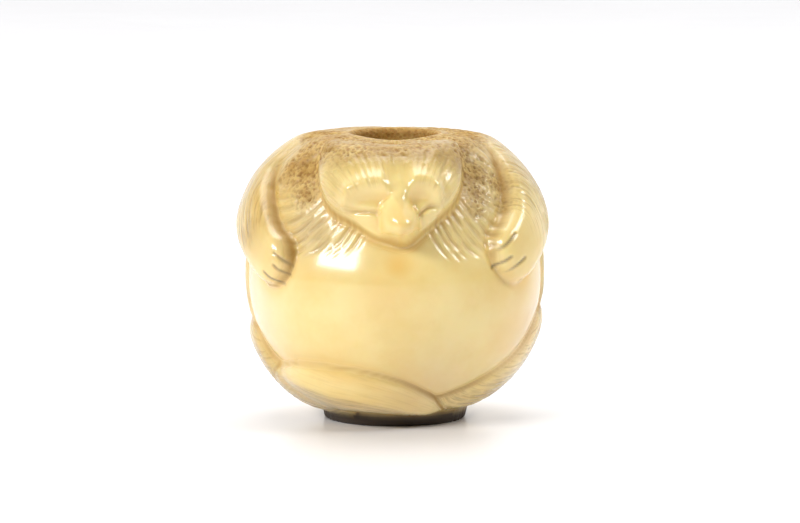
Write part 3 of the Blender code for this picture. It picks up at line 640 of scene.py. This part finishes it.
def pores(points, size, share, seed):
    """Round pits: a share of the cubes of this size hold one, deepest at a scattered centre."""
    cell = np.floor(points / size)
    deepest = np.zeros(points.shape[:-1])
    for step in np.ndindex(3, 3, 3):
        at = cell + np.array(step) - 1.0
        code = [scatter(at[..., 0], at[..., 1], at[..., 2], seed + k) for k in range(4)]
        centre = (at + 0.2 + 0.6 * np.stack(code[:3], axis=-1)) * size
        radius = size * (0.25 + 0.35 * code[3])
        pit = np.clip(1.0 - np.linalg.norm(points - centre, axis=-1) / radius, 0.0, 1.0)
        deepest = np.maximum(deepest, np.where(code[3] < share, pit, 0.0))
    return deepest


level_radius = ball_radius(longitude, latitude) / MM + height
from_axis = level_radius * np.cos(np.radians(latitude))
land = ease((latitude - 45.0) / 10.0) * (1.0 - ease((from_axis - 4.6) / 1.6))
crown_sponge = on_head * ease((up - 0.9 + 0.6 * wander) / 2.2)
sponge = np.maximum(land, 0.85 * crown_sponge)
for lon, lat, reach in SPONGE:
    spot = mound(np.degrees(angle_from(lon, lat)) / reach)
    sponge = np.maximum(sponge, spot * (1.0 - 0.7 * on_head))
patchy = 0.85 + 0.5 * soft_noise(directions * BALL_RADIUS, 1.3, 7)
sponge = np.clip(sponge * patchy, 0.0, 1.0)
at = directions * level_radius[..., None]
pits = np.maximum(pores(at, 0.40, 0.75, 5), 0.7 * pores(at, 0.26, 0.8, 9))
pits *= ease(sponge / 0.6)
lumps = soft_noise(at, 0.35, 13) * sponge
cut = cut * (1.0 - 0.6 * sponge) + PORE_DEPTH * pits + 0.05 * (1.0 + lumps) * sponge
fur *= 1.0 - 0.6 * sponge

# Cutting and polishing
# The carved ball is levelled to its foot and its top land, and the hole is bored through it. Long
# handling has worn the rim and left dirt in the cuts. The foot is painted dark in place of the deep
# shade under the tail, its flat underside too.
CREASE_DEPTH = 0.12  # of a cut that is full of dirt
HALO_DEPTH = 0.22  # of a hollow that is stained all over
FOOT_DARK_TOP = 0.95  # how high over the table the dark of the foot reaches, and how far it fades
FOOT_DARK_FADE = 0.60
BORE_RINGS = 14
MOUTH_STEPS = 4
BORE_ROUGHNESS = 0.13
RIM_WEAR = 0.20 * MM  # how far the rim is worn down in front
RIM_WEAR_REACH = 40.0


def blurred(values, columns, rows):
    """The mean over a window of the grid, wrapping round the ball."""
    total = sum(np.roll(values, k, axis=1) for k in range(-columns, columns + 1)) / (2 * columns + 1)
    padded = np.pad(total, ((rows, rows), (0, 0)), mode="edge")
    return sum(padded[k:k + len(values)] for k in range(2 * rows + 1)) / (2 * rows + 1)


sine, cosine = np.sin(np.radians(latitude)), np.cos(np.radians(latitude))
foot_side = (0.5 * FOOT_WIDTH + FOOT_FLARE * CENTRE_HEIGHT) / (cosine - FOOT_FLARE * sine)


def carved_radius(fine_cut):
    """Distance from the centre to the carved surface, levelled off above and below."""
    radius = ball_radius(longitude, latitude) + UNIT * height
    radius = np.where(latitude < -45.0, smooth_max(radius, foot_side, 0.5 * UNIT), radius)
    radius = smooth_min(radius, (BEAD_HEIGHT - CENTRE_HEIGHT) / np.maximum(sine, 0.1), LAND_SOFTNESS)
    radius = smooth_min(radius, CENTRE_HEIGHT / np.maximum(-sine, 0.1), FOOT_SOFTNESS)
    return radius - UNIT * fine_cut


height = blurred(height, 1, 1)
near_hole = np.minimum(ease((top_latitude - latitude) / 3.0 + 0.15), ease((latitude - foot_latitude) / 9.0))
fine_cut = cut * near_hole
smooth_radius = carved_radius(0.0 * fine_cut)
radius = carved_radius(fine_cut)
shell = directions * radius[..., None]
shell[..., 2] += CENTRE_HEIGHT
deep_hollow = (blurred(smooth_radius, 8, 8) - smooth_radius) / UNIT
crease = np.clip(fine_cut / CREASE_DEPTH, 0.0, 1.0)
halo = np.clip(deep_hollow / HALO_DEPTH, 0.0, 1.0)
# Mask of the painted shade on the foot: its wall, and everything lower than the height above.
under = np.where(latitude < -45.0, ease((foot_side - level_radius * MM) / (0.5 * UNIT)), 0.0)
painted_foot_shade = np.maximum(under, ease((FOOT_DARK_TOP - shell[..., 2] / MM) / FOOT_DARK_FADE))

turn = np.linspace(0.0, 0.5 * np.pi, MOUTH_STEPS + 1)
hole = 0.5 * CORD_HOLE
foot_mouth = [(hole + FOOT_MOUTH * (1 - np.sin(a)), FOOT_MOUTH * (1 - np.cos(a))) for a in turn[1:]]
bore = [(hole, z) for z in np.linspace(FOOT_MOUTH, BEAD_HEIGHT - TOP_MOUTH, BORE_RINGS + 2)[1:-1]]
top_mouth = []
for a in turn[:-1]:
    top_mouth.append((hole + TOP_MOUTH * (1 - np.cos(a)), BEAD_HEIGHT - TOP_MOUTH * (1 - np.sin(a))))
profile = np.array(foot_mouth + bore + top_mouth)
ring_lon = np.radians(column[:-1])
ring_r = np.broadcast_to(profile[:, :1], (len(profile), COLUMNS))
ring_z = np.broadcast_to(profile[:, 1:], (len(profile), COLUMNS))
round_hole = np.stack([np.sin(ring_lon) * ring_r, -np.cos(ring_lon) * ring_r, ring_z], axis=-1)
deep_in = ease(np.minimum(ring_z, BEAD_HEIGHT - ring_z) / (1.2 * MM))
rough = pores(round_hole / MM, 0.75, 0.8, 15) * deep_in
round_hole[..., :2] *= 1.0 + (BORE_ROUGHNESS * rough * MM / ring_r)[..., None]
skin = np.concatenate([shell, round_hole])
near_rim = ease((skin[..., 2] - BEAD_HEIGHT + 1.5 * MM) / (1.5 * MM))
skin[..., 2] -= RIM_WEAR * near_rim * mound(column[:-1] / RIM_WEAR_REACH)

# Colour and stain
# Where the antler is worn it is cream, with honey-coloured stains below the nose and by the paws, a
# greyer chest, and a rosy tinge to the flanks. These maps are kept as attributes of the surface.
HONEY = (
    (1, 10, 6, 0.75), (-3, 2, 12, 0.40), (60, 1, 9, 0.60), (46, -2, 9, 0.35),
    (-48, 6, 8, 0.30), (0, 24, 6, 0.35), (-22, -30, 12, 0.25), (88, -20, 7, 0.30),
)
GREY = ((-38, 24, 12, 0.80), (38, 25, 12, 0.25), (-30, 18, 9, 0.50), (30, 20, 9, 0.25), (-86, 4, 12, 0.35))
ROSY = ((-70, -8, 20, 0.7), (74, -18, 20, 0.6), (-98, 20, 16, 0.5), (98, 30, 16, 0.5), (20, -40, 16, 0.35))
BROWN = (
    (-92, 34, 20, 0.65), (-78, 30, 10, 0.6), (-66, 36, 9, 0.6), (-100, 12, 12, 0.35), (84, 38, 16, 0.5),
    (-63, 20, 9, 0.75), (-70, 28, 10, 0.75), (-57, 27, 5, 0.4), (-84, -38, 13, 0.75), (-30, 30, 12, 0.3),
    (66, 34, 8, 0.4), (-56, 47, 12, 0.9), (47, 45, 11, 0.7), (120, 50, 22, 0.6), (-130, 50, 24, 0.6),
    (180, 52, 24, 0.6),
)


def patches(spots):
    """Soft round patches, each with a direction, a reach in degrees and a strength."""
    total = np.zeros_like(height)
    for lon, lat, reach, strength in spots:
        total = np.maximum(total, strength * mound(np.degrees(angle_from(lon, lat)) / reach))
    return total


mottle = 0.5 + 0.5 * soft_noise(directions * BALL_RADIUS, 3.4, 17)
grey = np.maximum(patches(GREY), 0.55 * back + 0.5 * on_tail * ease((0.2 - offset) / 0.4))
honey = patches(HONEY)
honey = np.maximum(honey, 0.55 * on_tail * mound((offset - 0.62) / 0.22) * mound((along - 0.42) / 0.24))
honey = np.maximum(honey, 0.40 * halo)
honey = np.maximum(honey, 0.35 * ease((mottle - 0.55) / 0.35) * (1.0 - on_head))
rosy = patches(ROSY)
forehead = on_head * (0.25 * ease((above_arch + 0.1) / 0.5) + 0.75 * ease((up - 0.8) / 1.5))
brown = np.maximum(patches(BROWN), np.maximum(land, forehead))
maps = {
    "crease": crease, "seam": seam, "ink": ink, "sponge": sponge, "pits": pits, "fur": fur,
    "honey": honey, "grey": grey, "rosy": rosy, "brown": brown, "painted_foot_shade": painted_foot_shade,
}
everywhere = np.ones_like(rough)
in_hole = {
    "crease": 0.4 + 0.6 * rough, "seam": 0.5 + 0.5 * rough, "pits": rough,
    "sponge": everywhere, "brown": everywhere,
}

corner = np.arange(len(skin) * COLUMNS).reshape(len(skin), COLUMNS)
below = np.roll(corner, -1, axis=0)
faces = np.stack([corner, below, np.roll(below, -1, axis=1), np.roll(corner, -1, axis=1)], axis=-1)
faces = faces.reshape(-1, 4)
box_low, box_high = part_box("tanuki_bead")
middle = 0.5 * (shell.reshape(-1, 3).min(axis=0) + shell.reshape(-1, 3).max(axis=0))
skin[..., 0] += 0.5 * (box_low.x + box_high.x) - middle[0]
skin[..., 1] += 0.5 * (box_low.y + box_high.y) - middle[1]
mesh = bpy.data.meshes.new("carved_bead")
mesh.from_pydata(skin.reshape(-1, 3).tolist(), [], faces.tolist())
mesh.shade_smooth()
for name, values in maps.items():
    inner = in_hole.get(name, np.zeros_like(rough))
    attribute = mesh.attributes.new(name, "FLOAT", "POINT")
    attribute.data.foreach_set("value", np.concatenate([values, inner]).astype(np.float32).ravel())
hair = np.concatenate([combed, np.zeros(rough.shape + (3,))]).astype(np.float32)
mesh.attributes.new("hair", "FLOAT_VECTOR", "POINT").data.foreach_set("vector", hair.ravel())
bead = bpy.data.objects.new("carved_bead", mesh)
bpy.context.scene.collection.objects.link(bead)

# Antler
# Polished antler lets light a little way in. Its colour is mixed from the maps, dirt sits in creases
# and pores, hair lines finer than the graver's show as a bump, and handling has left a soft gloss.
CREAM = (0.87, 0.70, 0.30, 1.0)
DARKER_CREAM = (0.82, 0.62, 0.23, 1.0)
HONEY_TONE = (0.78, 0.49, 0.13, 1.0)
GREY_TONE = (0.60, 0.47, 0.27, 1.0)
ROSY_TONE = (0.90, 0.69, 0.45, 1.0)
BROWN_TONE = (0.43, 0.28, 0.062, 1.0)
SPONGE_TONES = ((0.62, 0.41, 0.12, 1.0), (0.36, 0.18, 0.015, 1.0))
DIRT = (0.24, 0.105, 0.006, 1.0)
SEAM_TONE = (0.36, 0.175, 0.015, 1.0)
INK = (0.16, 0.11, 0.055, 1.0)
# Near-black of the painted shade on the foot, in place of the deep shade under the tail.
FOOT_SHADE_TONE = (0.045, 0.028, 0.016, 1.0)


def node(tree, kind, inputs=(), **settings):
    """A shader node with its settings, and its inputs given as values or as other nodes' outputs."""
    made = tree.nodes.new("ShaderNode" + kind)
    for name, value in settings.items():
        setattr(made, name, value)
    for name, value in dict(inputs).items():
        if isinstance(value, bpy.types.NodeSocket):
            tree.links.new(value, made.inputs[name])
        else:
            made.inputs[name].default_value = value
    return made


def math(tree, operation, a, b, c=0.0):
    return node(tree, "Math", {0: a, 1: b, 2: c}, operation=operation).outputs[0]


def blend_colour(tree, amount, a, b):
    mix = node(tree, "Mix", {0: amount, 6: a, 7: b}, data_type="RGBA")
    return mix.outputs[2]


def ramp(tree, value, low, high):
    return node(tree, "MapRange", {0: value, 1: low, 2: high}, interpolation_type="SMOOTHSTEP").outputs[0]


def noise(tree, vector, scale, detail, roughness):
    inputs = {"Vector": vector, "Scale": scale, "Detail": detail, "Roughness": roughness}
    return node(tree, "TexNoise", inputs).outputs["Fac"]


antler = bpy.data.materials.new("antler")
antler.use_nodes = True
tree = antler.node_tree
shader = tree.nodes["Principled BSDF"]
place = node(tree, "TexCoord").outputs["Object"]
read = {name: node(tree, "Attribute", attribute_name=name).outputs["Fac"] for name in maps}
hair = node(tree, "Attribute", attribute_name="hair").outputs["Vector"]

stretched = node(tree, "Mapping", {"Vector": hair, "Scale": (0.55, 6.5, 3.0)}).outputs["Vector"]
cloud = noise(tree, place, 260.0, 4.0, 0.6)
grain = noise(tree, place, 1500.0, 5.0, 0.65)
streak = noise(tree, stretched, 1.0, 3.0, 0.6)
specks = node(tree, "TexVoronoi", {"Vector": place, "Scale": 520.0, "Randomness": 1.0})
speck = ramp(tree, specks.outputs["Distance"], 0.13, 0.05)
speck = math(tree, "MULTIPLY", speck, ramp(tree, specks.outputs["Color"], 0.78, 0.86))

cells = node(tree, "TexVoronoi", {"Vector": place, "Scale": 4200.0}).outputs["Distance"]
open_pore = math(tree, "MULTIPLY", ramp(tree, cells, 0.56, 0.26), read["sponge"])
colour = blend_colour(tree, ramp(tree, cloud, 0.35, 0.75), CREAM, DARKER_CREAM)
colour = blend_colour(tree, read["rosy"], colour, ROSY_TONE)
colour = blend_colour(tree, math(tree, "MULTIPLY", read["grey"], 0.9), colour, GREY_TONE)
browned = math(tree, "MULTIPLY", read["brown"], ramp(tree, cloud, 0.15, 0.55))
colour = blend_colour(tree, browned, colour, BROWN_TONE)
colour = blend_colour(tree, read["honey"], colour, HONEY_TONE)
hairline = math(tree, "MULTIPLY", ramp(tree, streak, 0.52, 0.36), read["fur"])
colour = blend_colour(tree, math(tree, "MULTIPLY", hairline, 0.32), colour, DIRT)
crumbs = blend_colour(tree, ramp(tree, grain, 0.40, 0.62), *SPONGE_TONES)
colour = blend_colour(tree, math(tree, "MULTIPLY", read["sponge"], 0.62), colour, crumbs)
colour = blend_colour(tree, math(tree, "MULTIPLY", open_pore, 0.60), colour, DIRT)
colour = blend_colour(tree, math(tree, "MULTIPLY", read["pits"], 0.85), colour, DIRT)
colour = blend_colour(tree, math(tree, "MULTIPLY", read["crease"], 0.38), colour, DIRT)
colour = blend_colour(tree, math(tree, "MULTIPLY", read["seam"], 0.85), colour, SEAM_TONE)
colour = blend_colour(tree, math(tree, "MULTIPLY", speck, 0.35), colour, DIRT)
colour = blend_colour(tree, read["ink"], colour, INK)
# Painted shade: the foot is blended to near-black, its flat underside too.
colour = blend_colour(tree, read["painted_foot_shade"], colour, FOOT_SHADE_TONE)
tree.links.new(colour, shader.inputs["Base Color"])

dull = math(tree, "MAXIMUM", read["sponge"], math(tree, "MAXIMUM", read["painted_foot_shade"], read["seam"]))
worn = math(tree, "ADD", math(tree, "MULTIPLY", dull, 0.40), math(tree, "MULTIPLY", read["crease"], 0.12))
gloss = math(tree, "ADD", math(tree, "MULTIPLY_ADD", cloud, 0.12, 0.17), worn)
tree.links.new(gloss, shader.inputs["Roughness"])
polish = math(tree, "SUBTRACT", 0.45, math(tree, "MULTIPLY", dull, 0.45))
tree.links.new(polish, shader.inputs["Coat Weight"])
shader.inputs["Coat Roughness"].default_value = 0.11
shader.inputs["Subsurface Weight"].default_value = 0.30
shader.inputs["Subsurface Radius"].default_value = (1.0, 0.55, 0.25)
shader.inputs["Subsurface Scale"].default_value = 1.1 * MM
shader.inputs["IOR"].default_value = 1.52

graininess = math(tree, "MULTIPLY_ADD", read["sponge"], 1.6, 0.10)
fine = math(tree, "MULTIPLY", streak, read["fur"])
fine = math(tree, "ADD", fine, math(tree, "MULTIPLY", grain, graininess))
fine = math(tree, "SUBTRACT", fine, math(tree, "MULTIPLY", open_pore, 0.9))
bump = node(tree, "Bump", {"Height": fine, "Strength": 0.55, "Distance": 0.05 * MM})
tree.links.new(bump.outputs["Normal"], shader.inputs["Normal"])
mesh.materials.append(antler)
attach(bead, "root")
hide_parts("tanuki_bead")

# Table
# The table is a sheet of white, slightly glossy plastic that runs on into a white room.
TABLE_HALF = 1.2
table_mesh = bpy.data.meshes.new("studio_table")
corners = [(x * TABLE_HALF, y * TABLE_HALF, 0.0) for x, y in ((-1, -1), (1, -1), (1, 1), (-1, 1))]
table_mesh.from_pydata(corners, [], [(0, 1, 2, 3)])
table = bpy.data.objects.new("studio_table", table_mesh)
bpy.context.scene.collection.objects.link(table)
acrylic = bpy.data.materials.new("white_acrylic")
acrylic.use_nodes = True
tree = acrylic.node_tree
shader = tree.nodes["Principled BSDF"]
shader.inputs["Base Color"].default_value = (0.88, 0.87, 0.89, 1.0)
shader.inputs["Specular IOR Level"].default_value = 0.15
place = node(tree, "TexCoord").outputs["Object"]
haze = node(tree, "TexNoise", {"Vector": place, "Scale": 40.0, "Detail": 3.0}).outputs["Fac"]
tree.links.new(math(tree, "MULTIPLY_ADD", haze, 0.10, 0.20), shader.inputs["Roughness"])
table_mesh.materials.append(acrylic)

# Lights
# One soft box stands at the left of the camera, with a weaker one at the right and one above.
LIGHTS = (
    ("key_softbox", -50.0, 31.0, 0.40, (0.22, 0.09), 1.20),
    ("fill_softbox", 74.0, 42.0, 0.45, (0.16, 0.13), 0.75),
    ("overhead_softbox", 180.0, 72.0, 0.45, (0.30, 0.30), 0.90),
)
ROOM_FRONT = 0.12
ROOM_BACK = 1.20
ROOM_SEEN = 1.35
for name, azimuth, elevation, distance, size, power in LIGHTS:
    light = bpy.data.lights.new(name, "AREA")
    light.shape = "RECTANGLE"
    light.size, light.size_y = size
    light.energy = power
    stand = bpy.data.objects.new(name, light)
    bpy.context.scene.collection.objects.link(stand)
    aim = Vector(unit_directions(azimuth, elevation))
    stand.location = VIEW_TARGET + distance * aim
    stand.rotation_euler = aim.to_track_quat("Z", "Y").to_euler()
room = bpy.data.worlds.new("white_room")
room.use_nodes = True
tree = room.node_tree
behind = node(tree, "SeparateXYZ", {0: node(tree, "TexCoord").outputs["Generated"]}).outputs["Y"]
wall = node(tree, "MapRange", {0: behind, 1: -0.3, 2: 0.7, 3: ROOM_FRONT, 4: ROOM_BACK}).outputs[0]
seen = node(tree, "LightPath").outputs["Is Camera Ray"]
strength = node(tree, "Mix", {0: seen, 2: wall, 3: ROOM_SEEN}).outputs[0]
tree.links.new(strength, tree.nodes["Background"].inputs["Strength"])
tree.nodes["Background"].inputs["Color"].default_value = (1.0, 1.0, 1.0, 1.0)
bpy.context.scene.world = room
